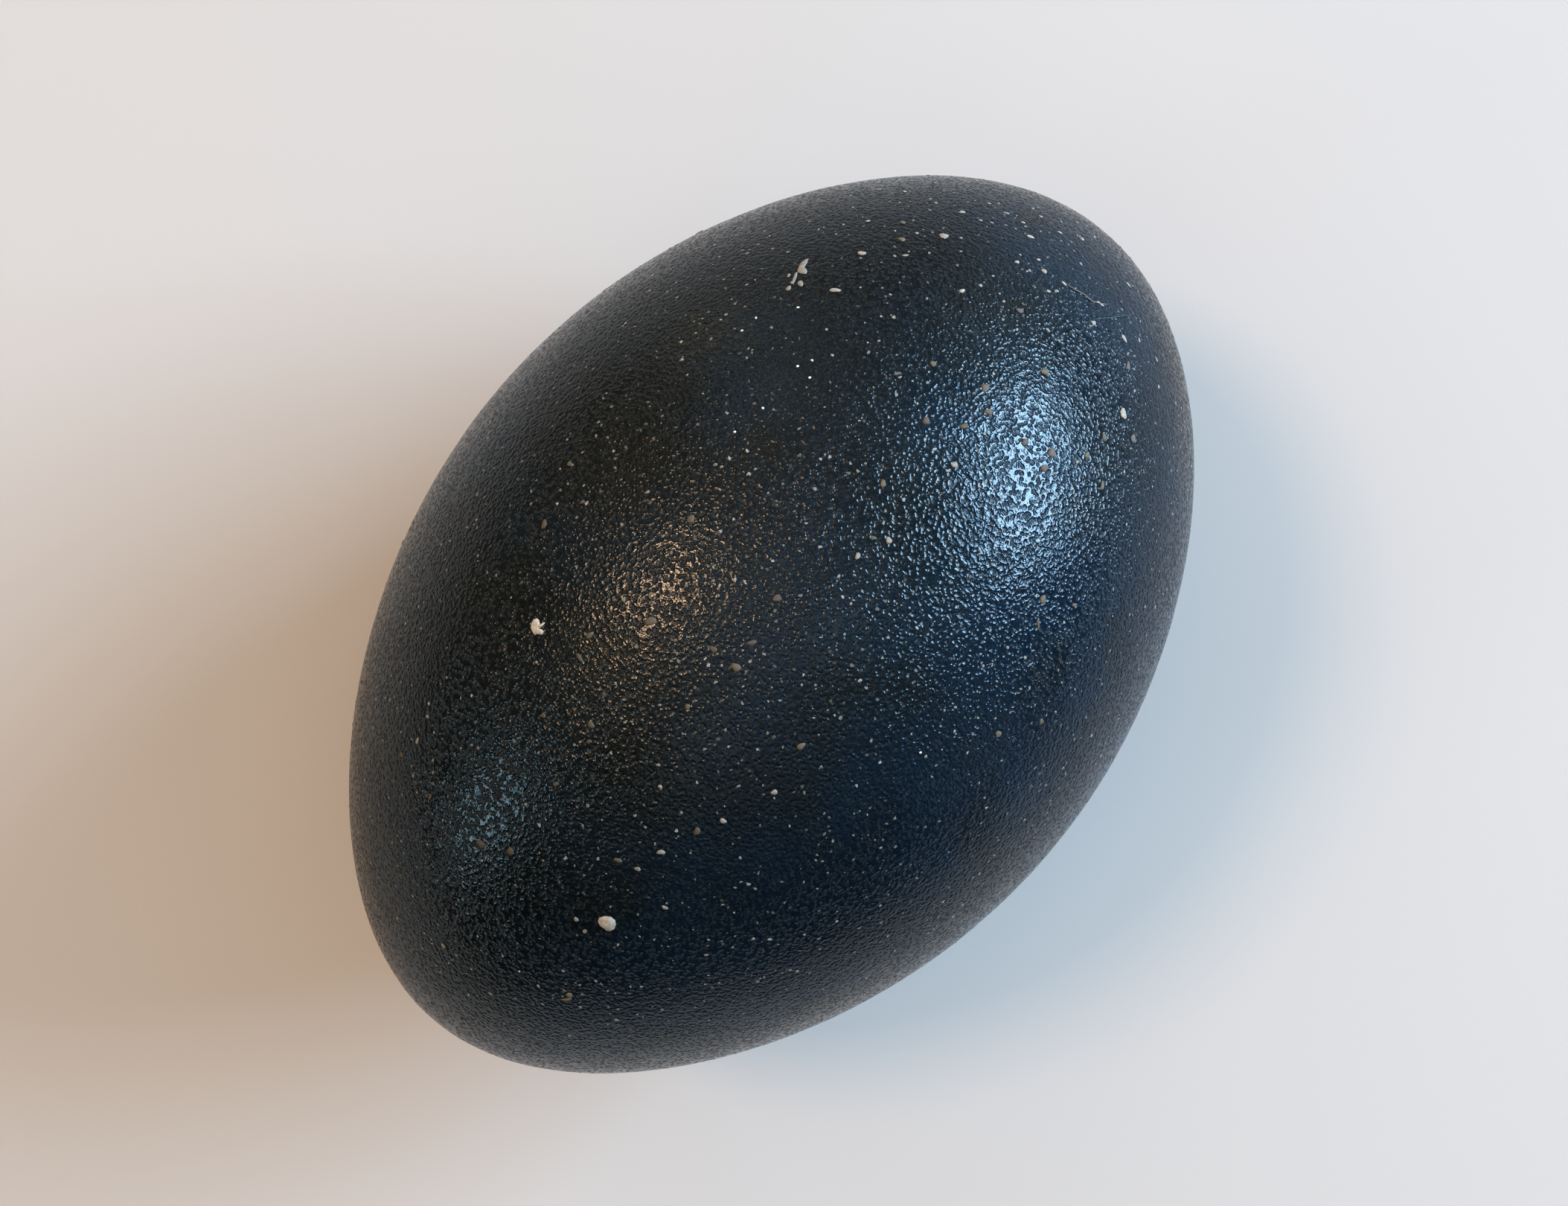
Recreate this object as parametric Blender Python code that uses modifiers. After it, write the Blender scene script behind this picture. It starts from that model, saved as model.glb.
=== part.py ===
"""An emu egg, lying on its side on the small flat spot that it rests on.

The egg is one solid, turned about its long axis. That axis runs along X, with the
blunter end towards +X, and it leans by the small angle at which the centre of mass
hangs straight over the resting spot. The origin is the middle of that spot.
"""

import math

import bpy
from mathutils import Matrix, Vector

# Driving dimensions, in metres. An emu's egg is about 130 mm long and 90 mm across.
EGG_LENGTH = 0.130
EGG_BREADTH = 0.090

# The profile is an ellipse times 1 + BLUNTNESS * s - POINTEDNESS * s * s, where s runs
# from -1 at the narrower end to 1 at the blunter one. The second term draws in both ends.
BLUNTNESS = 0.018
POINTEDNESS = 0.106

# How much of the underside the resting spot flattens.
SPOT_DEPTH = 0.0004

# Facets of the solid: along the profile from end to end, and round the long axis.
PROFILE_STEPS = 52
ROUND_STEPS = 72

# The places along the profile that the resting point is looked for at, for each facet.
FINE_PER_STEP = 80

MERGE = 0.00001
CUTTER_SIDE = 0.040

SHELL_COLOUR = (0.012, 0.020, 0.024, 1.0)
SHELL_ROUGHNESS = 0.38


def shape_factor(s):
    """How far the profile stands out from a plain half circle, before it is scaled to the breadth."""
    return math.sqrt(max(0.0, 1 - s * s)) * (1 + BLUNTNESS * s - POINTEDNESS * s * s)


def fine_profile():
    """(place along the axis, radius) at many even angles from the narrower end to the blunter one."""
    count = PROFILE_STEPS * FINE_PER_STEP
    sines = [math.sin(math.pi * (i / count - 0.5)) for i in range(count + 1)]
    widest = max(shape_factor(s) for s in sines)
    return [(EGG_LENGTH / 2 * s, EGG_BREADTH / 2 * shape_factor(s) / widest) for s in sines]


def centroid_along(profile):
    """Where the centre of mass of the turned solid lies on its axis."""
    volume = moment = 0.0
    for (x0, r0), (x1, r1) in zip(profile, profile[1:]):
        slab = (r0 * r0 + r1 * r1) / 2 * (x1 - x0)
        volume += slab
        moment += slab * (x0 + x1) / 2
    return moment / volume


def resting_lean(profile):
    """(lean of the axis, height of the centre of mass over the lowest point, place of the centroid).

    The egg rests on the point of its side that is nearest to its centre of mass.
    """
    centroid = centroid_along(profile)
    x, radius = min(profile, key=lambda p: math.hypot(p[0] - centroid, p[1]))
    return math.atan2(x - centroid, radius), math.hypot(x - centroid, radius), centroid


def turned_egg(profile, collection):
    """The whole egg about its own axis: local Z, with the centre of its length at the origin."""
    kept = profile[::FINE_PER_STEP]
    # At +X a Screw's profile runs down its outer side, so the blunter end comes first.
    points = [(radius, 0.0, along) for along, radius in reversed(kept)]
    points[0] = (0.0, 0.0, points[0][2])
    points[-1] = (0.0, 0.0, points[-1][2])
    mesh = bpy.data.meshes.new("egg_profile")
    mesh.from_pydata(points, [(i, i + 1) for i in range(len(points) - 1)], [])
    egg = bpy.data.objects.new("egg", mesh)
    collection.objects.link(egg)
    screw = egg.modifiers.new("turn", "SCREW")
    screw.axis = "Z"
    screw.steps = ROUND_STEPS
    screw.render_steps = ROUND_STEPS
    screw.use_merge_vertices = True
    screw.merge_threshold = MERGE
    screw.use_smooth_shade = True
    return egg


def lay_down(egg, lean, height, centroid):
    """Lays the axis along X, leaning, with the centre of mass over the origin."""
    on_its_side = Matrix.Rotation(math.pi / 2, 4, "Y")
    leaning = Matrix.Rotation(lean, 4, "Y")
    to_centroid = Matrix.Translation(Vector((0, 0, -centroid)))
    up = Matrix.Translation(Vector((0, 0, height - SPOT_DEPTH)))
    egg.matrix_world = up @ leaning @ on_its_side @ to_centroid


def cut_resting_spot(egg, collection):
    """Takes off what would lie under the surface that the egg rests on."""
    bpy.ops.mesh.primitive_cube_add(size=CUTTER_SIDE, location=(0, 0, -CUTTER_SIDE / 2))
    cutter = bpy.context.active_object
    cutter.name = "spot_cutter"
    for other in list(cutter.users_collection):
        other.objects.unlink(cutter)
    collection.objects.link(cutter)
    cutter.hide_render = True
    cutter.display_type = "WIRE"
    cut = egg.modifiers.new("resting_spot", "BOOLEAN")
    cut.operation = "DIFFERENCE"
    cut.object = cutter


def shell_material():
    """The dark, slightly glossy shell."""
    material = bpy.data.materials.new("shell")
    material.use_nodes = True
    shader = material.node_tree.nodes["Principled BSDF"]
    shader.inputs["Base Color"].default_value = SHELL_COLOUR
    shader.inputs["Roughness"].default_value = SHELL_ROUGHNESS
    shader.inputs["Metallic"].default_value = 0.0
    return material


def new_collection(name):
    collection = bpy.data.collections.new(name)
    bpy.context.scene.collection.children.link(collection)
    return collection


def main():
    for obj in list(bpy.data.objects):
        bpy.data.objects.remove(obj, do_unlink=True)
    profile = fine_profile()
    egg = turned_egg(profile, new_collection("emu_egg"))
    lay_down(egg, *resting_lean(profile))
    cut_resting_spot(egg, new_collection("cutters"))
    egg.data.materials.append(shell_material())


main()
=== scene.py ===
"""The looks of an emu egg: its dark pebbled shell, the mineral specks on it and a plain studio.

Everything is in metres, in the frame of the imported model: the egg lies along X, its
blunter end towards +X, and rests on a small flat spot whose middle is the origin.
"""

import math
import random

import bmesh
import bpy
import numpy as np
from mathutils import Matrix, Vector, noise
from mathutils.bvhtree import BVHTree


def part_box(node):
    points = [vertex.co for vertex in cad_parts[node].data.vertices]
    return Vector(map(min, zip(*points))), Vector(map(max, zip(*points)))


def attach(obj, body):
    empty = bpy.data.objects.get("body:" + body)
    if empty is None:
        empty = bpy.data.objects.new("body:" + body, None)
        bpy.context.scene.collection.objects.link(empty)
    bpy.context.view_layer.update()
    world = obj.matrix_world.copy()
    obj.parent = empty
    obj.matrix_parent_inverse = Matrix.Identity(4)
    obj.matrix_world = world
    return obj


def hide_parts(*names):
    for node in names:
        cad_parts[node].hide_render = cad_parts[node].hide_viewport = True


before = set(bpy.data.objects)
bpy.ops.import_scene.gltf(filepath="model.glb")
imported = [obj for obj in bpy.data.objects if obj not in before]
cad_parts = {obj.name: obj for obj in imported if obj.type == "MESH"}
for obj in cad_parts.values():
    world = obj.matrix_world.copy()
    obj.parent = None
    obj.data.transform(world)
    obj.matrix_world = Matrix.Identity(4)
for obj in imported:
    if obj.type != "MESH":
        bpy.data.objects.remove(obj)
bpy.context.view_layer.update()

MM = 0.001

# The egg's driving dimensions, which are those of the CAD solid.
EGG_LENGTH = 0.130
EGG_BREADTH = 0.090
BLUNTNESS = 0.018
POINTEDNESS = 0.106
SPOT_DEPTH = 0.0004
PROFILE_SAMPLES = 4161

# The shell's mesh is a cube of fine grids blown up to the egg. Each grid has this many
# cells a side, and the two end grids reach in to this share of the half length.
GRID_CELLS = 128
END_GRID_FROM = 0.60
# How much of its cell on the shell's map a grid fills.
MAP_FILL = 0.985

# Relief that the mesh holds: low pebbles, and a faint unevenness that breaks up reflections.
PEBBLE_SIZE = 1.05 * MM
PEBBLE_DEPTH = 0.030 * MM
SWELL_SIZE = 4.2 * MM
SWELL_DEPTH = 0.060 * MM

# The photograph's frame, in pixels, and the camera that took it.
PHOTO_WIDTH = 2107
PHOTO_HEIGHT = 1620
FIELD_OF_VIEW = math.radians(50.0)
SENSOR_WIDTH = 36.0
NEAREST_SEEN = 0.01
# The long axis of the egg runs up to the right across the picture, at this angle.
AXIS_IN_PHOTO = math.radians(49.56)
CAMERA_HEIGHT = 0.2594
# Where the middle of the egg lies from the middle of the picture, to the left and down.
EGG_LEFT = 1.96 * MM
EGG_DOWN = 3.01 * MM

PHOTO_RIGHT = Vector((math.cos(AXIS_IN_PHOTO), -math.sin(AXIS_IN_PHOTO), 0.0))
PHOTO_UP = Vector((math.sin(AXIS_IN_PHOTO), math.cos(AXIS_IN_PHOTO), 0.0))
EGG_MIDDLE = Vector((0.0, 0.0, EGG_BREADTH / 2))

# The fine grain of the shell, too fine for its mesh: a net of rounded ridges round small
# pits. A pit is flat out to the first share of a cell, and the ridges have their full
# height from the second.
PIT_SPACING = 0.50 * MM
PIT_SWIRL = 1.1 * MM
PIT_UNEVENNESS = 0.70 * MM
PIT_BLEND = 0.25
PIT_TO_RIDGE = (0.05, 0.70)
GRAIN_DEPTH = 0.074 * MM
# Lumps wider than the pits and a tooth finer than them, and their heights beside a ridge's.
LUMP_SIZE = 0.90 * MM
LUMP_SHARE = 0.75
TOOTH_SIZE = 0.24 * MM
TOOTH_SHARE = 0.50

# The shell's colours, the sizes of their patches, and the part of the noise's range
# over which each comes in. MOTTLE_ROUGHNESS is how strong the mottle's finer detail is.
SHELL_DARK = (0.0026, 0.0066, 0.0100, 1.0)
SHELL_BLUE = (0.0034, 0.0165, 0.0330, 1.0)
SHELL_OLIVE = (0.0046, 0.0070, 0.0058, 1.0)
SHELL_MOTTLE = (0.0200, 0.0310, 0.0370, 1.0)
SHELL_FLECK = (0.3000, 0.3200, 0.3100, 1.0)
PATCH_SIZE = 24 * MM
PATCH_RANGE = (0.30, 0.75)
OLIVE_SIZE = 17 * MM
OLIVE_RANGE = (0.45, 0.75)
OLIVE_MOST = 0.7
MOTTLE_SIZE = 0.30 * MM
MOTTLE_RANGE = (0.50, 0.74)
MOTTLE_ROUGHNESS = 0.6
# The shell is bluer towards the lower right of the photograph.
# Partly the shell's own tone and partly painted cool light, on the side away from the warm lamp.
BLUER_TOWARDS = PHOTO_RIGHT - PHOTO_UP * 0.5
BLUER_PER_METRE = 5.0

RIDGE_ROUGHNESS = 0.11
PIT_ROUGHNESS = 0.45
FLECK_EXTRA_ROUGHNESS = 0.35
SHELL_IOR = 1.51
SHELL_GLOSS_TINT = (0.86, 0.95, 1.00, 1.0)

# Flecks in the shell's colour. Sizes and the soft edge are shares of a cell. A cell has
# a fleck where its random number is past FLECK_CHANCE, and a fainter one within it.
FLECK_SPACING = 0.86 * MM
FLECK_SWIRL = 0.4 * MM
FLECK_UNEVENNESS = 0.45 * MM
FLECK_SIZES = (0.08, 0.26)
FLECK_EDGE = 0.06
FLECK_CHANCE = (0.38, 0.46)
FLECK_PALENESS = (0.12, 1.0)

# Tints of the mineral specks, as base colours; GLINT is a painted glint, near white.
CHALK = (0.50, 0.49, 0.45)
DULL_CHALK = (0.37, 0.36, 0.325)
BEIGE = (0.28, 0.27, 0.245)
CREAM = (0.38, 0.37, 0.335)
TAN = (0.165, 0.148, 0.112)
PINKISH = (0.155, 0.136, 0.125)
GLINT = (0.80, 0.80, 0.78)
TEAL = (0.06, 0.12, 0.12)
PALE_DUST = (0.24, 0.23, 0.20)

# Where its mottle is dark, a speck's own colour gives way to this one by the share below.
MINERAL_DIRT = (0.10, 0.09, 0.08, 1.0)
MINERAL_DIRT_SHARE = 0.30
MINERAL_MOTTLE_SIZE = 0.30 * MM
MINERAL_MOTTLE_RANGE = (0.42, 0.60)
MINERAL_DEPTH = 0.025 * MM
MINERAL_ROUGHNESS = 0.72

# Outlines of the largest deposits, as pixels of the photograph, anticlockwise from the right.
# Those that curl are made of parts that overlap.
NODULE = [(828, 1242), (827, 1236), (821, 1231), (812, 1230), (805, 1232), (803, 1237), (806, 1243),
          (811, 1246), (815, 1250), (821, 1251), (826, 1248)]
CRUMB = [
    [(725, 833), (722, 830), (717, 831), (714, 837), (713, 844), (716, 850), (719, 854), (722, 852),
     (725, 847), (726, 840)],
    [(733, 836), (730, 836), (724, 840), (722, 844), (726, 844), (730, 840)],
    [(731, 848), (728, 845), (722, 844), (719, 848), (723, 852), (729, 853)]]
DEPOSIT = [
    [(1087, 347), (1083, 348), (1077, 352), (1073, 358), (1071, 364), (1077, 365), (1081, 359), (1085, 353)],
    [(1085, 364), (1083, 360), (1077, 358), (1071, 362), (1071, 366), (1078, 368), (1084, 368)],
    [(1072, 365), (1069, 366), (1066, 372), (1064, 379), (1066, 381), (1069, 377), (1071, 371)],
    [(1067, 378), (1063, 378), (1061, 380), (1064, 382), (1067, 381)],
    [(1080, 381), (1078, 377), (1074, 377), (1071, 380), (1073, 384), (1078, 385)],
    [(1063, 384), (1059, 384), (1055, 389), (1059, 391), (1063, 388)],
    [(1063, 368), (1059, 368), (1057, 372), (1060, 373)]]
HOOK = [
    [(770, 1338), (768, 1334), (763, 1333), (760, 1336), (763, 1339), (767, 1341)],
    [(769, 1341), (766, 1340), (759, 1341), (753, 1342), (758, 1344), (765, 1344)]]
# How high each of them stands, in millimetres.
NODULE_HEIGHT = 0.34
CRUMB_HEIGHT = 0.16
DEPOSIT_HEIGHT = 0.12
HOOK_HEIGHT = 0.15

# Where the photograph shows the larger specks: pixel across and down, then length and
# width in millimetres, and the angle of the length above the picture's horizontal.
CREAM_SPECKS = [
    (1269, 317, 1.30, 0.85, -15), (1158, 340, 0.95, 0.75, -25), (1121, 390, 1.20, 0.70, -8),
    (1509, 555, 1.60, 0.90, 95), (1511, 455, 1.20, 0.60, 100), (1385, 318, 1.00, 0.55, -25),
    (1293, 285, 0.90, 0.60, 0), (1403, 364, 0.80, 0.65, 80), (1293, 391, 0.80, 0.55, 20),
    (1454, 321, 0.70, 0.60, 30), (1352, 286, 0.95, 0.35, 5), (1181, 254, 0.80, 0.35, 0),
    (561, 995, 0.80, 0.60, 40), (596, 1271, 0.75, 0.55, -30), (888, 1145, 0.90, 0.65, 0),
    (857, 1167, 0.75, 0.55, 10), (774, 1235, 0.65, 0.55, 60), (786, 1251, 0.60, 0.50, 90),
    (1040, 1064, 0.80, 0.60, 50), (1012, 1261, 0.50, 0.40, 0), (1034, 1262, 0.55, 0.40, 30),
    (893, 1219, 0.75, 0.50, -20), (972, 1103, 0.75, 0.65, 0), (1153, 747, 0.75, 0.65, 50),
    (1194, 726, 0.80, 0.70, 0), (1283, 625, 0.85, 0.70, 45),
    (1557, 520, 0.55, 0.40, 90), (1554, 483, 0.60, 0.35, 110), (1201, 426, 0.50, 0.45, 0),
    (1470, 434, 0.80, 0.60, 0), (949, 1283, 0.50, 0.40, 0), (765, 1391, 0.50, 0.45, 0),
    (828, 1370, 0.70, 0.45, -10),
    (659, 1335, 0.60, 0.40, -60), (887, 1057, 0.50, 0.45, 0), (1166, 297, 0.55, 0.45, 0),
    (1232, 313, 0.50, 0.40, 0), (1217, 343, 0.85, 0.35, 0), (1318, 296, 0.55, 0.30, 0),
    (1329, 273, 0.50, 0.30, 0), (1375, 299, 0.55, 0.40, 0), (1424, 312, 0.60, 0.40, -20),
    (1399, 291, 0.65, 0.40, 0), (1333, 299, 0.50, 0.30, 0), (1367, 352, 0.75, 0.40, 20),
    (1396, 349, 0.60, 0.35, 0), (1409, 391, 0.70, 0.35, 0), (1420, 391, 0.60, 0.35, 10),
    (1430, 381, 0.95, 0.32, -40), (1479, 408, 1.10, 0.36, -8), (1517, 383, 0.90, 0.30, -50),
    (1118, 477, 0.40, 0.35, 0), (1531, 457, 0.60, 0.35, 80)]
TAN_SPECKS = [
    (1212, 322, 1.05, 0.90, 0), (1213, 299, 0.80, 0.70, 20), (1404, 500, 1.20, 1.10, 45),
    (1324, 522, 1.30, 1.00, 30), (1328, 553, 1.05, 0.95, 0), (1296, 572, 1.10, 0.80, 30),
    (1254, 489, 0.95, 0.75, 40), (1187, 650, 1.00, 0.80, 60), (1484, 587, 1.15, 0.85, -40),
    (1402, 805, 1.45, 0.85, 85), (1395, 837, 1.60, 0.50, 98), (989, 897, 1.25, 1.10, 0),
    (874, 834, 1.40, 1.20, 20), (731, 704, 1.35, 0.85, 70), (928, 698, 1.20, 0.95, 20),
    (765, 623, 0.85, 0.70, 0), (793, 853, 1.10, 0.80, 30), (779, 884, 1.30, 0.60, -60),
    (783, 674, 0.70, 0.60, 0), (540, 1014, 0.90, 0.70, 0), (646, 1133, 1.35, 1.05, -20),
    (686, 1144, 1.20, 1.00, 20), (578, 1070, 0.90, 0.60, 60), (582, 1053, 0.75, 0.60, 0),
    (936, 1117, 1.10, 0.95, 80), (794, 974, 1.00, 0.85, 0), (792, 996, 0.70, 0.60, 0),
    (730, 961, 0.80, 0.65, 20), (1341, 986, 1.15, 0.90, 20), (1399, 969, 1.00, 0.80, 70),
    (1077, 1002, 1.10, 0.90, 40), (1174, 723, 0.80, 0.60, 0), (1481, 653, 1.20, 0.75, 80),
    (1461, 611, 1.10, 0.85, 0), (1444, 813, 0.85, 0.65, 0), (959, 872, 1.10, 0.75, -45),
    (924, 949, 0.80, 0.70, 0), (831, 1156, 1.10, 0.70, -30), (747, 1053, 0.80, 0.65, 20)]
# The pixels show tan specks with their blurred edges, which are left off.
TAN_TRIM = 0.85
PINK_SPECKS = [
    (1516, 491, 1.10, 0.75, 80), (1522, 589, 1.05, 0.85, 90), (1413, 608, 1.20, 1.00, 20),
    (1404, 629, 1.15, 0.80, 0), (1245, 565, 0.95, 0.85, 0), (1378, 594, 0.95, 0.85, 0),
    (1370, 417, 0.90, 0.80, 0), (1044, 804, 1.10, 0.70, 30), (1010, 863, 1.20, 0.50, 20),
    (1205, 502, 0.80, 0.45, 20)]
# Painted glints: near-white specks that stand in for tiny glints of light.
TINY_GLINTS = [
    (1072, 413), (1091, 484), (1072, 492), (1088, 507), (1025, 548), (997, 444), (1016, 427),
    (987, 580), (1237, 1011), (698, 1305)]
TINY_GLINT_SIZE = 0.34
# A fine pale fibre that lies on the shell, and a fainter one beside it: the pixels that they pass.
PALE_FIBRE = [(1428, 378), (1444, 389), (1457, 396), (1467, 405), (1478, 408), (1490, 409)]
TEAL_FIBRE = [(1466, 430), (1480, 428), (1495, 427), (1510, 424), (1524, 425)]
FIBRE_RADIUS = 0.070 * MM
FIBRE_SIDES = 5
# The share of that radius at a fibre's ends, and how many radii its middle lies above the shell.
FIBRE_TAPER = 0.4
FIBRE_LIFT = 0.6

# How high a speck stands for its width, how far its foot is sunk into the shell, how many
# corners its outline has, how far one end may stand higher, and its range of brightness.
SPECK_RISE = 0.18
SPECK_SINK = 0.05 * MM
SPECK_SIDES = 9
SPECK_SKEW = 0.25
SPECK_SHADES = (0.82, 1.12)
# The rings of a speck above its foot: share of its outline and of its height.
SPECK_RINGS = ((0.90, 0.50), (0.55, 0.92))
# How far a speck's outline is pushed in and out in one, two and three waves round it.
OUTLINE_WAVES = (0.12, 0.16, 0.13)
# The rings of a deposit above its foot: how far in from its outline, and share of its height.
# Each point of a ring is off that height by up to the share after them.
DEPOSIT_RINGS = ((0.08, 0.45), (0.45, 0.95))
DEPOSIT_UNEVENNESS = 0.15
# Specks are painted darker towards the narrower end, as painted shade on the end away from the window:
# brightness at mid length, and the change to an end.
SPECK_PAINTED_SHADE = 0.80
SPECK_PAINTED_SHADE_CHANGE = 0.32

# Finer specks, scattered all over. Lengths are in millimetres, and dimming is a share of a tint.
FINE_SPECKS = 2300
FINE_LENGTH = (0.20, 0.50)
FINE_WIDTH = (0.55, 1.0)
FINE_DIMMING = (0.28, 0.86)
FINE_SIDES = 6
FINE_RISE = 0.10
FINE_TINTS = (CREAM, CREAM, PINKISH, TAN, CHALK)
# Larger specks where the photograph doesn't reach: where the shell's way out rises by less
# than UNSEEN_BELOW.
UNSEEN_SPECKS = 110
UNSEEN_LENGTH = (0.6, 1.3)
UNSEEN_WIDTH = (0.6, 0.95)
UNSEEN_RISE = 0.12
UNSEEN_BELOW = 0.22
UNSEEN_TINTS = (TAN, TAN, CREAM, PINKISH)
# Scattered specks gather in clumps, and where the shell faces DENSER_TOWARDS. A place that
# faces the other way keeps SPARSEST of its chance, or a little more.
CLUMP_SIZE = 9 * MM
DENSER_TOWARDS = PHOTO_RIGHT * 0.5 + PHOTO_UP * 0.7
SPARSEST = 0.35
RANDOM_SEED = 11

# Lights: places right, up and out towards the camera from the middle of the egg, as the
# photograph has it, then width and height, power in watts and colour.
WINDOW_PLACE = (1.36, 0.49, 0.79)
WINDOW_SIZE = (1.05, 0.56)
WINDOW_POWER = 32.5
WINDOW_COLOUR = (0.60, 0.80, 1.0)
LAMP_PLACE = (-0.675, 0.259, 1.141)
LAMP_SIZE = (0.35, 0.35)
LAMP_POWER = 5.6
LAMP_COLOUR = (1.0, 0.62, 0.38)
FAR_WINDOW_PLACE = (-1.47, -0.66, 0.54)
FAR_WINDOW_SIZE = (0.50, 0.50)
FAR_WINDOW_POWER = 3.0
FAR_WINDOW_COLOUR = (0.64, 0.87, 1.0)

# Tints of the room's light, on the picture's left, on its right, and round the window, and
# how far a direction leans that way where each comes in.
ROOM_LEFT = (1.28, 1.00, 0.72, 1.0)
ROOM_RIGHT = (1.04, 1.0, 0.94, 1.0)
ROOM_SIDES = (-0.7, 0.7)
ROOM_BY_WINDOW = (0.70, 0.92, 1.12, 1.0)
ROUND_WINDOW = (0.55, 1.0)
# The room's light level at the horizon, what it gains right, up and out, and its least.
ROOM_LEVEL = 0.23
ROOM_LEVEL_GAIN = (0.10, 0.24, 0.38)
ROOM_DARKEST = 0.06
# Bright patches in the room, and the shares of the level outside and inside them.
ROOM_PATCH_SIZE = 0.28
ROOM_PATCH_RANGE = (0.52, 0.68)
ROOM_PATCH_LEVELS = (0.63, 2.4)
# What the camera sees past the floor's edge.
BACKDROP_TINT = (1.0, 1.0, 1.0, 1.0)
BACKDROP_LEVEL = 0.62

FLOOR_SIDE = 1.1
FLOOR_COLOUR = (0.500, 0.50, 0.50, 1.0)
FLOOR_ROUGHNESS = 0.9


def fullness(s):
    """How much fuller than an ellipse the profile is at s: -1 at the narrower end, 1 at the blunter."""
    return 1 + BLUNTNESS * s - POINTEDNESS * s * s


def fullness_slope(s):
    return BLUNTNESS - 2 * POINTEDNESS * s


def profile_scale():
    """What the profile's radius is multiplied by, so that its widest place has the egg's breadth."""
    s = np.sin(np.linspace(-math.pi / 2, math.pi / 2, PROFILE_SAMPLES))
    return EGG_BREADTH / 2 / float((np.sqrt(1 - s * s) * fullness(s)).max())


def resting_matrix():
    """From the egg's own frame, long axis along X and middle at the origin, to where it rests."""
    s = np.sin(np.linspace(-math.pi / 2, math.pi / 2, PROFILE_SAMPLES))
    along = EGG_LENGTH / 2 * s
    radius = profile_scale() * np.sqrt(1 - s * s) * fullness(s)
    slab = (radius[1:] ** 2 + radius[:-1] ** 2) * np.diff(along)
    centroid = float((slab * (along[1:] + along[:-1]) / 2).sum() / slab.sum())
    lowest = int(np.argmin(np.hypot(along - centroid, radius)))
    ahead = float(along[lowest]) - centroid
    below = float(radius[lowest])
    up = Matrix.Translation((0.0, 0.0, math.hypot(ahead, below) - SPOT_DEPTH))
    lean = Matrix.Rotation(math.atan2(ahead, below), 4, "Y")
    return up @ lean @ Matrix.Translation((-centroid, 0.0, 0.0))


PROFILE_SCALE = profile_scale()
RESTING = resting_matrix()


def on_smooth_egg(directions):
    """(points, ways out) of the smooth resting egg, for unit vectors whose X runs along the long axis."""
    s = directions[:, 0]
    points = directions * (PROFILE_SCALE * fullness(s))[:, None]
    points[:, 0] = EGG_LENGTH / 2 * s
    outward = directions * (EGG_LENGTH / 2)
    outward[:, 0] = PROFILE_SCALE * (s * fullness(s) - (1 - s * s) * fullness_slope(s))
    outward /= np.linalg.norm(outward, axis=1)[:, None]
    place = np.array(RESTING)
    return points @ place[:3, :3].T + place[:3, 3], outward @ place[:3, :3].T


def way_out(place):
    """Which way the smooth egg faces at a point on it or near it."""
    own = RESTING.inverted() @ place
    s = max(-1.0, min(1.0, own.x / (EGG_LENGTH / 2)))
    across = PROFILE_SCALE * fullness(s)
    direction = Vector((s, own.y / across, own.z / across)).normalized()
    return Vector(on_smooth_egg(np.array([direction]))[1][0])


def relief(point):
    """How far the surface lies inside the smooth egg at this point: zero on the highest pebbles."""
    pebble = noise.noise(point / PEBBLE_SIZE)
    swell = noise.noise(point / SWELL_SIZE)
    return PEBBLE_DEPTH * (1 - pebble) / 2 + SWELL_DEPTH * (1 - swell) / 2


def inside_cad_box(points):
    low, high = (np.array(corner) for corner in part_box("egg"))
    return np.clip(points, low, high)


def unit_rows(rows):
    return rows / np.linalg.norm(rows, axis=1)[:, None]


def cube_directions(cube):
    """Unit vectors for points on the faces of a cube from -1 to 1, spread evenly over each face."""
    spread = np.tan(cube * math.pi / 4)
    spread[:, 0] *= END_GRID_FROM / math.sqrt(1 - END_GRID_FROM**2)
    return unit_rows(spread)


def shell_map(mesh, cube):
    """Lays the six grids out side by side on a map, three across and two down."""
    corners = np.empty(len(mesh.loops), np.int32)
    mesh.loops.foreach_get("vertex_index", corners)
    at = cube[corners]
    middles = at.reshape(-1, 4, 3).mean(axis=1)
    facing_axis = np.abs(middles).argmax(axis=1)
    axis = np.repeat(facing_axis, 4)
    positive = np.repeat(middles[np.arange(len(middles)), facing_axis] > 0, 4)
    rows = np.arange(len(at))
    tall = np.where(axis == 0, 2, 0)
    wide = 3 - axis - tall
    facing = np.where(positive, 1, -1) * np.where(axis == 2, -1, 1)
    u = (1 + MAP_FILL * at[rows, wide] * facing) / 2
    v = (1 + MAP_FILL * at[rows, tall]) / 2
    places = np.stack([(axis + u) / 3, (positive + v) / 2], axis=1)
    layer = mesh.uv_layers.new(name="OFBake")
    layer.uv.foreach_set("vector", places.astype(np.float32).ravel())


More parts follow.
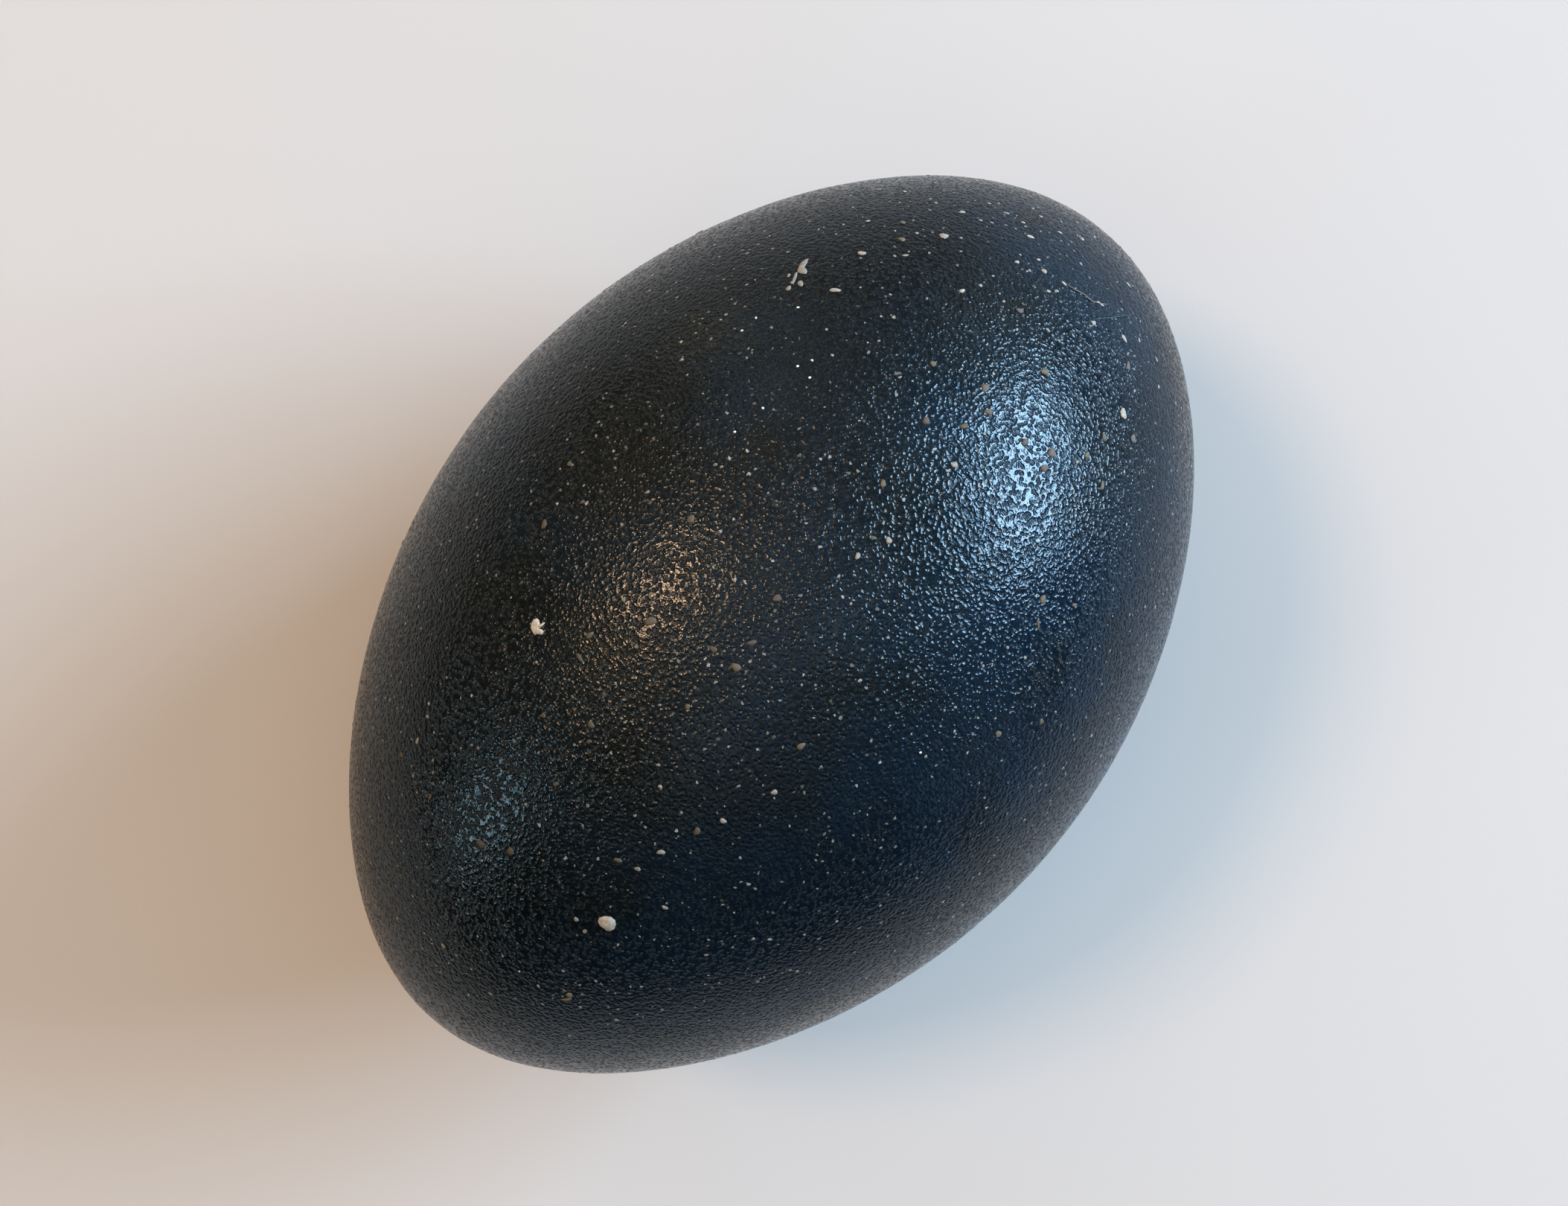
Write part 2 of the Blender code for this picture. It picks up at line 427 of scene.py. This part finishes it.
def make_shell():
    """The whole shell: a cube of grids blown up to the egg, with its pebbles pressed into the mesh."""
    grid = bmesh.new()
    bmesh.ops.create_cube(grid, size=2.0)
    bmesh.ops.subdivide_edges(grid, edges=grid.edges[:], cuts=GRID_CELLS - 1, use_grid_fill=True)
    mesh = bpy.data.meshes.new("shell")
    grid.to_mesh(mesh)
    grid.free()
    cube = np.empty(len(mesh.vertices) * 3, np.float32)
    mesh.vertices.foreach_get("co", cube)
    cube = cube.reshape(-1, 3).astype(np.float64)
    shell_map(mesh, cube)
    points, outward = on_smooth_egg(cube_directions(cube))
    depth = np.array([relief(Vector(point)) for point in points])
    points = inside_cad_box(points - outward * depth[:, None])
    mesh.vertices.foreach_set("co", points.astype(np.float32).ravel())
    mesh.update()
    mesh.shade_smooth()
    shell = bpy.data.objects.new("shell", mesh)
    bpy.context.scene.collection.objects.link(shell)
    return shell


class Nodes:
    """Adds nodes to a material or a world, and joins them."""

    def __init__(self, owner):
        owner.use_nodes = True
        self.tree = owner.node_tree
        self.tree.nodes.clear()

    def add(self, kind, inputs=(), **settings):
        made = self.tree.nodes.new(kind)
        for name, value in settings.items():
            setattr(made, name, value)
        for socket, value in dict(inputs).items():
            if isinstance(value, bpy.types.NodeSocket):
                self.tree.links.new(value, made.inputs[socket])
            else:
                made.inputs[socket].default_value = value
        return made

    def math(self, operation, first, second=0.0, third=0.0):
        return self.add("ShaderNodeMath", {0: first, 1: second, 2: third}, operation=operation).outputs[0]

    def dot(self, first, second):
        made = self.add("ShaderNodeVectorMath", {0: first, 1: second}, operation="DOT_PRODUCT")
        return made.outputs["Value"]

    def noise(self, where, size, detail=0.0, roughness=0.5):
        values = {"Vector": where, "Scale": 1 / size, "Detail": detail, "Roughness": roughness}
        return self.add("ShaderNodeTexNoise", values).outputs["Fac"]

    def ramp(self, value, low, high, to_low=0.0, to_high=1.0, smooth=True):
        values = {"Value": value, "From Min": low, "From Max": high, "To Min": to_low, "To Max": to_high}
        kind = "SMOOTHSTEP" if smooth else "LINEAR"
        return self.add("ShaderNodeMapRange", values, interpolation_type=kind).outputs["Result"]

    def mix(self, factor, first, second):
        made = self.add("ShaderNodeMix", {0: factor, 6: first, 7: second}, data_type="RGBA")
        return made.outputs[2]

    def pushed_about(self, where, size, by):
        """Places pushed about by up to this much, in swirls of this size, so that cells aren't round."""
        cloud = self.add("ShaderNodeTexNoise", {"Vector": where, "Scale": 1 / size, "Detail": 1.0})
        pushed = self.add("ShaderNodeVectorMath", {0: cloud.outputs["Color"], 1: (by,) * 3, 2: where},
                          operation="MULTIPLY_ADD")
        return pushed.outputs[0]

    def surface(self, shader):
        self.add("ShaderNodeOutputMaterial", {"Surface": shader.outputs[0]})


def shell_grain(nodes, where):
    """(ridges, height) of the grain, where ridges run from 0 in the pits to 1 on the net between them."""
    pushed = nodes.pushed_about(where, PIT_SWIRL, PIT_UNEVENNESS)
    values = {"Vector": pushed, "Scale": 1 / PIT_SPACING, "Smoothness": PIT_BLEND}
    pits = nodes.add("ShaderNodeTexVoronoi", values, feature="SMOOTH_F1")
    ridges = nodes.ramp(pits.outputs["Distance"], *PIT_TO_RIDGE)
    lumps = nodes.noise(where, LUMP_SIZE, detail=1.0)
    tooth = nodes.noise(where, TOOTH_SIZE, detail=1.0)
    height = nodes.math("MULTIPLY_ADD", lumps, LUMP_SHARE, ridges)
    return ridges, nodes.math("MULTIPLY_ADD", tooth, TOOTH_SHARE, height)


def shell_base(nodes, where):
    """The shell's colour without its flecks: blue and olive patches on near black, finely mottled."""
    patches = nodes.noise(where, PATCH_SIZE, detail=2.0)
    # Bluer towards the lower right: partly the shell's own tone, partly painted cool light.
    patches = nodes.math("MULTIPLY_ADD", nodes.dot(where, BLUER_TOWARDS), BLUER_PER_METRE, patches)
    base = nodes.mix(nodes.ramp(patches, *PATCH_RANGE), SHELL_DARK, SHELL_BLUE)
    olive = nodes.noise(where, OLIVE_SIZE, detail=3.0)
    base = nodes.mix(nodes.ramp(olive, *OLIVE_RANGE, to_high=OLIVE_MOST), base, SHELL_OLIVE)
    mottle = nodes.noise(where, MOTTLE_SIZE, detail=2.0, roughness=MOTTLE_ROUGHNESS)
    return nodes.mix(nodes.ramp(mottle, *MOTTLE_RANGE), base, SHELL_MOTTLE)


def shell_flecks(nodes, where):
    """(how pale, whether there) for flecks too small for the specks' mesh, uneven in size and outline."""
    pushed = nodes.pushed_about(where, FLECK_SWIRL, FLECK_UNEVENNESS)
    cells = nodes.add("ShaderNodeTexVoronoi", {"Vector": pushed, "Scale": 1 / FLECK_SPACING})
    chance = nodes.add("ShaderNodeSeparateColor", {"Color": cells.outputs["Color"]})
    size = nodes.ramp(chance.outputs[1], 0.0, 1.0, *FLECK_SIZES, smooth=False)
    gap = nodes.math("SUBTRACT", size, cells.outputs["Distance"])
    there = nodes.ramp(gap, 0.0, FLECK_EDGE)
    there = nodes.math("MULTIPLY", there, nodes.ramp(chance.outputs[0], *FLECK_CHANCE))
    paleness = nodes.ramp(chance.outputs[2], 0.0, 1.0, *FLECK_PALENESS, smooth=False)
    return nodes.math("MULTIPLY", there, paleness), there


def shell_material():
    """Near-black shell: glossy rounded ridges, duller pits, a fine mottle and pale mineral flecks."""
    material = bpy.data.materials.new("shell")
    nodes = Nodes(material)
    where = nodes.add("ShaderNodeTexCoord").outputs["Object"]
    ridges, height = shell_grain(nodes, where)
    paleness, fleck = shell_flecks(nodes, where)
    colour = nodes.mix(paleness, shell_base(nodes, where), SHELL_FLECK)
    rough = nodes.ramp(ridges, 0.0, 1.0, PIT_ROUGHNESS, RIDGE_ROUGHNESS, smooth=False)
    rough = nodes.math("MULTIPLY_ADD", fleck, FLECK_EXTRA_ROUGHNESS, rough)
    bump = nodes.add("ShaderNodeBump", {"Strength": 1.0, "Distance": GRAIN_DEPTH, "Height": height})
    shader = nodes.add("ShaderNodeBsdfPrincipled", {
        "Base Color": colour, "Roughness": rough, "Normal": bump.outputs["Normal"]})
    shader.inputs["IOR"].default_value = SHELL_IOR
    shader.inputs["Specular Tint"].default_value = SHELL_GLOSS_TINT
    nodes.surface(shader)
    return material


def speck_material():
    """Dull chalky mineral, each grain in its own tint and finely uneven; the near-white glint grains are
    painted glints.
    """
    material = bpy.data.materials.new("mineral")
    nodes = Nodes(material)
    where = nodes.add("ShaderNodeTexCoord").outputs["Object"]
    tint = nodes.add("ShaderNodeVertexColor", layer_name="tint").outputs["Color"]
    mottle = nodes.noise(where, MINERAL_MOTTLE_SIZE, detail=3.0)
    dirty = nodes.mix(MINERAL_DIRT_SHARE, tint, MINERAL_DIRT)
    colour = nodes.mix(nodes.ramp(mottle, *MINERAL_MOTTLE_RANGE), dirty, tint)
    bump = nodes.add("ShaderNodeBump", {"Strength": 1.0, "Distance": MINERAL_DEPTH, "Height": mottle})
    shader = nodes.add("ShaderNodeBsdfPrincipled", {
        "Base Color": colour, "Roughness": MINERAL_ROUGHNESS, "Normal": bump.outputs["Normal"]})
    nodes.surface(shader)
    return material


def camera_place():
    middle = RESTING @ Vector((0.0, 0.0, 0.0))
    middle.z = CAMERA_HEIGHT
    return middle + PHOTO_RIGHT * EGG_LEFT + PHOTO_UP * EGG_DOWN


class Specks:
    """Small grains gathered into one mesh: each a closed, low and uneven dome with its foot in the shell."""

    def __init__(self, tree, chance):
        self.tree = tree
        self.chance = chance
        self.points = []
        self.faces = []
        self.tints = []

    def seen_at(self, across, down):
        """The point of the shell that the photograph shows at this pixel."""
        view = 2 * math.tan(FIELD_OF_VIEW / 2) / PHOTO_WIDTH
        way = PHOTO_RIGHT * (across - PHOTO_WIDTH / 2) - PHOTO_UP * (down - PHOTO_HEIGHT / 2)
        way = way * view - Vector((0.0, 0.0, 1.0))
        return self.tree.ray_cast(camera_place(), way.normalized())[0]

    def grain(self, place, along, length, width, tint, sides=SPECK_SIDES, rise=SPECK_RISE):
        """One dome at this point of the shell. along is the way its length runs; sizes are in millimetres."""
        out = way_out(place)
        first = (along - out * along.dot(out)).normalized()
        second = out.cross(first)
        height = rise * width * MM
        wobble = self.uneven(sides)
        skew = self.chance.uniform(-SPECK_SKEW, SPECK_SKEW)
        start = len(self.points)
        rings = [(1.0, -SPECK_SINK)] + [(share, lift * height) for share, lift in SPECK_RINGS]
        for share, lift in rings:
            for k in range(sides):
                turn = 2 * math.pi * k / sides
                u = share * wobble[k] * math.cos(turn)
                v = share * wobble[k] * math.sin(turn)
                tilt = 1 + skew * u if lift > 0 else 1
                foot = place + first * (u * length * MM / 2) + second * (v * width * MM / 2)
                self.points.append(foot + out * (lift * tilt))
        self.points.append(place + out * height)
        self.points.append(place - out * SPECK_SINK)
        # Painted shade: each speck is darker the nearer it lies to the narrower end.
        level = SPECK_PAINTED_SHADE + SPECK_PAINTED_SHADE_CHANGE * place.x / (EGG_LENGTH / 2)
        shade = self.chance.uniform(*SPECK_SHADES) * level
        self.tints += [tuple(shade * c for c in tint)] * (len(self.points) - start)
        self.close_mound(start, sides, len(rings))

    def uneven(self, sides):
        """How far each corner of an outline stands out from a plain oval."""
        turns = [self.chance.uniform(0, 2 * math.pi) for _ in OUTLINE_WAVES]
        around = [2 * math.pi * k / sides for k in range(sides)]
        return [1 + sum(size * math.sin(waves * a + turn)
                        for waves, (size, turn) in enumerate(zip(OUTLINE_WAVES, turns), 1))
                for a in around]

    def deposit(self, outline, tint, height):
        """A low mound with this outline, given as pixels of the photograph. height is in millimetres."""
        foot = [self.seen_at(*pixel) for pixel in outline]
        middle = sum(foot, Vector()) / len(foot)
        out = way_out(middle)
        start = len(self.points)
        rings = [(0.0, -SPECK_SINK)] + [(inward, lift * height * MM) for inward, lift in DEPOSIT_RINGS]
        for inward, lift in rings:
            for place in foot:
                uneven = lift * (1 + self.chance.uniform(-DEPOSIT_UNEVENNESS, DEPOSIT_UNEVENNESS))
                self.points.append(place.lerp(middle, inward) + out * uneven)
        self.points.append(middle + out * height * MM)
        self.points.append(middle - out * SPECK_SINK)
        self.tints += [tint] * (len(self.points) - start)
        self.close_mound(start, len(foot), len(rings))

    def close_mound(self, start, sides, rings):
        """The faces of a mound: its rings of points run upwards from start, then its top and its foot."""
        for ring in range(rings - 1):
            self.join_rings(start + ring * sides, sides)
        last = start + (rings - 1) * sides
        top = start + rings * sides
        for k in range(sides):
            after = (k + 1) % sides
            self.faces.append((last + k, last + after, top))
            self.faces.append((start + after, start + k, top + 1))

    def join_rings(self, low, sides):
        """The faces between the ring of points that starts at low and the ring after it."""
        for k in range(sides):
            after = (k + 1) % sides
            self.faces.append((low + k, low + after, low + sides + after, low + sides + k))

    def hand_placed(self, rows, tint, sides=SPECK_SIDES, trim=1.0):
        for across, down, length, width, angle in rows:
            turn = math.radians(angle)
            along = PHOTO_RIGHT * math.cos(turn) + PHOTO_UP * math.sin(turn)
            self.grain(self.seen_at(across, down), along, trim * length, trim * width, tint, sides)

    def anywhere(self):
        """A point of the shell picked at random, more often where specks gather."""
        while True:
            direction = Vector([self.chance.gauss(0, 1) for _ in range(3)]).normalized()
            smooth, out = on_smooth_egg(np.array([direction]))
            place = self.tree.find_nearest(Vector(smooth[0]))[0]
            gather = 0.5 + 0.5 * noise.noise(place / CLUMP_SIZE)
            toward = 0.5 + 0.5 * Vector(out[0]).dot(DENSER_TOWARDS)
            likely = gather * (SPARSEST + (1 - SPARSEST) * toward)
            if place.z > SPECK_SINK and self.chance.random() < likely:
                return place

    def some_way(self):
        return Vector([self.chance.gauss(0, 1) for _ in range(3)])

    def scatter_fine(self):
        for _ in range(FINE_SPECKS):
            length = self.chance.uniform(*FINE_LENGTH)
            tint = self.chance.choice(FINE_TINTS)
            dim = self.chance.uniform(*FINE_DIMMING)
            place = self.anywhere()
            along = self.some_way()
            width = length * self.chance.uniform(*FINE_WIDTH)
            self.grain(place, along, length, width, [dim * c for c in tint], FINE_SIDES, FINE_RISE)

    def scatter_unseen(self):
        made = 0
        while made < UNSEEN_SPECKS:
            place = self.anywhere()
            if way_out(place).z < UNSEEN_BELOW:
                length = self.chance.uniform(*UNSEEN_LENGTH)
                tint = self.chance.choice(UNSEEN_TINTS)
                along = self.some_way()
                width = length * self.chance.uniform(*UNSEEN_WIDTH)
                self.grain(place, along, length, width, tint, rise=UNSEEN_RISE)
                made += 1

    def fibre(self, pixels, tint):
        """A thin thread along the shell through these pixels, tapered at its ends."""
        places = [self.seen_at(*pixel) for pixel in pixels]
        final = len(places) - 1
        start = len(self.points)
        for i, place in enumerate(places):
            out = way_out(place)
            ahead = (places[min(i + 1, final)] - places[max(i - 1, 0)]).normalized()
            beside = out.cross(ahead).normalized()
            radius = FIBRE_RADIUS * (FIBRE_TAPER if i in (0, final) else 1.0)
            for k in range(FIBRE_SIDES):
                turn = 2 * math.pi * k / FIBRE_SIDES
                lift = out * radius * (FIBRE_LIFT + math.sin(turn))
                self.points.append(place + lift + beside * radius * math.cos(turn))
                self.tints.append(tint)
        for i in range(final):
            self.join_rings(start + i * FIBRE_SIDES, FIBRE_SIDES)
        end = start + final * FIBRE_SIDES
        self.faces.append(tuple(start + k for k in reversed(range(FIBRE_SIDES))))
        self.faces.append(tuple(end + k for k in range(FIBRE_SIDES)))

    def piece(self, name):
        mesh = bpy.data.meshes.new(name)
        points = inside_cad_box(np.array(self.points))
        mesh.from_pydata([tuple(point) for point in points], [], self.faces)
        colours = mesh.color_attributes.new("tint", "FLOAT_COLOR", "POINT")
        flat = np.ones((len(self.tints), 4), np.float32)
        flat[:, :3] = self.tints
        colours.data.foreach_set("color", flat.ravel())
        mesh.shade_smooth()
        made = bpy.data.objects.new(name, mesh)
        bpy.context.scene.collection.objects.link(made)
        return made


def make_specks(shell):
    tree = BVHTree.FromObject(shell, bpy.context.evaluated_depsgraph_get())
    specks = Specks(tree, random.Random(RANDOM_SEED))
    specks.deposit(NODULE, DULL_CHALK, NODULE_HEIGHT)
    for outline in CRUMB:
        specks.deposit(outline, CHALK, CRUMB_HEIGHT)
    for outline in DEPOSIT:
        specks.deposit(outline, BEIGE, DEPOSIT_HEIGHT)
    for outline in HOOK:
        specks.deposit(outline, TAN, HOOK_HEIGHT)
    specks.hand_placed(CREAM_SPECKS, CREAM)
    specks.hand_placed(TAN_SPECKS, TAN, trim=TAN_TRIM)
    specks.hand_placed(PINK_SPECKS, PINKISH)
    # Painted glints, as near-white specks.
    glints = [(across, down, TINY_GLINT_SIZE, TINY_GLINT_SIZE, 0) for across, down in TINY_GLINTS]
    specks.hand_placed(glints, GLINT, FINE_SIDES)
    specks.fibre(PALE_FIBRE, PALE_DUST)
    specks.fibre(TEAL_FIBRE, TEAL)
    specks.scatter_fine()
    specks.scatter_unseen()
    piece = specks.piece("specks")
    piece.data.materials.append(speck_material())
    return piece


def in_photo(right, up, out):
    """A distance or a direction given right and up in the picture, and out towards the camera."""
    return PHOTO_RIGHT * right + PHOTO_UP * up + Vector((0.0, 0.0, out))


def make_camera():
    data = bpy.data.cameras.new("camera")
    data.sensor_width = SENSOR_WIDTH
    data.lens = SENSOR_WIDTH / 2 / math.tan(FIELD_OF_VIEW / 2)
    data.clip_start = NEAREST_SEEN
    camera = bpy.data.objects.new("camera", data)
    turn = Matrix((PHOTO_RIGHT, PHOTO_UP, Vector((0.0, 0.0, 1.0)))).transposed()
    camera.matrix_world = Matrix.Translation(camera_place()) @ turn.to_4x4()
    bpy.context.scene.collection.objects.link(camera)
    bpy.context.scene.camera = camera


def area_light(name, place, size, power, colour):
    """A light that faces the egg: a disk where its size is as high as it is wide."""
    data = bpy.data.lights.new(name, "AREA")
    data.shape = "DISK" if size[0] == size[1] else "RECTANGLE"
    data.size, data.size_y = size
    data.energy = power
    data.color = colour
    light = bpy.data.objects.new(name, data)
    light.location = EGG_MIDDLE + in_photo(*place)
    light.rotation_euler = in_photo(*place).to_track_quat("Z", "Y").to_euler()
    light.visible_camera = False
    bpy.context.scene.collection.objects.link(light)


def make_lights():
    area_light("window", WINDOW_PLACE, WINDOW_SIZE, WINDOW_POWER, WINDOW_COLOUR)
    area_light("lamp", LAMP_PLACE, LAMP_SIZE, LAMP_POWER, LAMP_COLOUR)
    area_light("far_window", FAR_WINDOW_PLACE, FAR_WINDOW_SIZE, FAR_WINDOW_POWER, FAR_WINDOW_COLOUR)


def make_world():
    """Light from the room: brighter overhead and towards the picture's top right, warmer on its left."""
    world = bpy.data.worlds.new("room")
    bpy.context.scene.world = world
    nodes = Nodes(world)
    way = nodes.add("ShaderNodeTexCoord").outputs["Generated"]
    tint = nodes.mix(nodes.ramp(nodes.dot(way, PHOTO_RIGHT), *ROOM_SIDES), ROOM_LEFT, ROOM_RIGHT)
    toward_window = nodes.dot(way, in_photo(*WINDOW_PLACE).normalized())
    tint = nodes.mix(nodes.ramp(toward_window, *ROUND_WINDOW), tint, ROOM_BY_WINDOW)
    level = nodes.math("ADD", nodes.dot(way, in_photo(*ROOM_LEVEL_GAIN)), ROOM_LEVEL)
    level = nodes.math("MAXIMUM", level, ROOM_DARKEST)
    # Walls, openings and furniture: the shell's fine facets pick out bright and dark patches.
    patches = nodes.noise(way, ROOM_PATCH_SIZE, detail=1.0)
    patches = nodes.ramp(patches, *ROOM_PATCH_RANGE, *ROOM_PATCH_LEVELS)
    level = nodes.math("MULTIPLY", level, patches)
    seen = nodes.add("ShaderNodeLightPath").outputs["Is Camera Ray"]
    to_backdrop = nodes.math("SUBTRACT", BACKDROP_LEVEL, level)
    background = nodes.add("ShaderNodeBackground", {
        "Color": nodes.mix(seen, tint, BACKDROP_TINT),
        "Strength": nodes.math("MULTIPLY_ADD", seen, to_backdrop, level)})
    nodes.add("ShaderNodeOutputWorld", {"Surface": background.outputs[0]})


def make_floor():
    bpy.ops.mesh.primitive_plane_add(size=FLOOR_SIDE)
    floor = bpy.context.active_object
    floor.name = "floor"
    material = bpy.data.materials.new("pale_floor")
    nodes = Nodes(material)
    nodes.surface(nodes.add("ShaderNodeBsdfPrincipled", {
        "Base Color": FLOOR_COLOUR, "Roughness": FLOOR_ROUGHNESS}))
    floor.data.materials.append(material)


make_camera()
shell = make_shell()
shell.data.materials.append(shell_material())
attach(shell, "root")
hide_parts("egg")
specks = make_specks(shell)
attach(specks, "root")
make_floor()
make_lights()
make_world()
bpy.context.scene.view_settings.view_transform = "Standard"
bpy.context.scene.view_settings.look = "High Contrast"
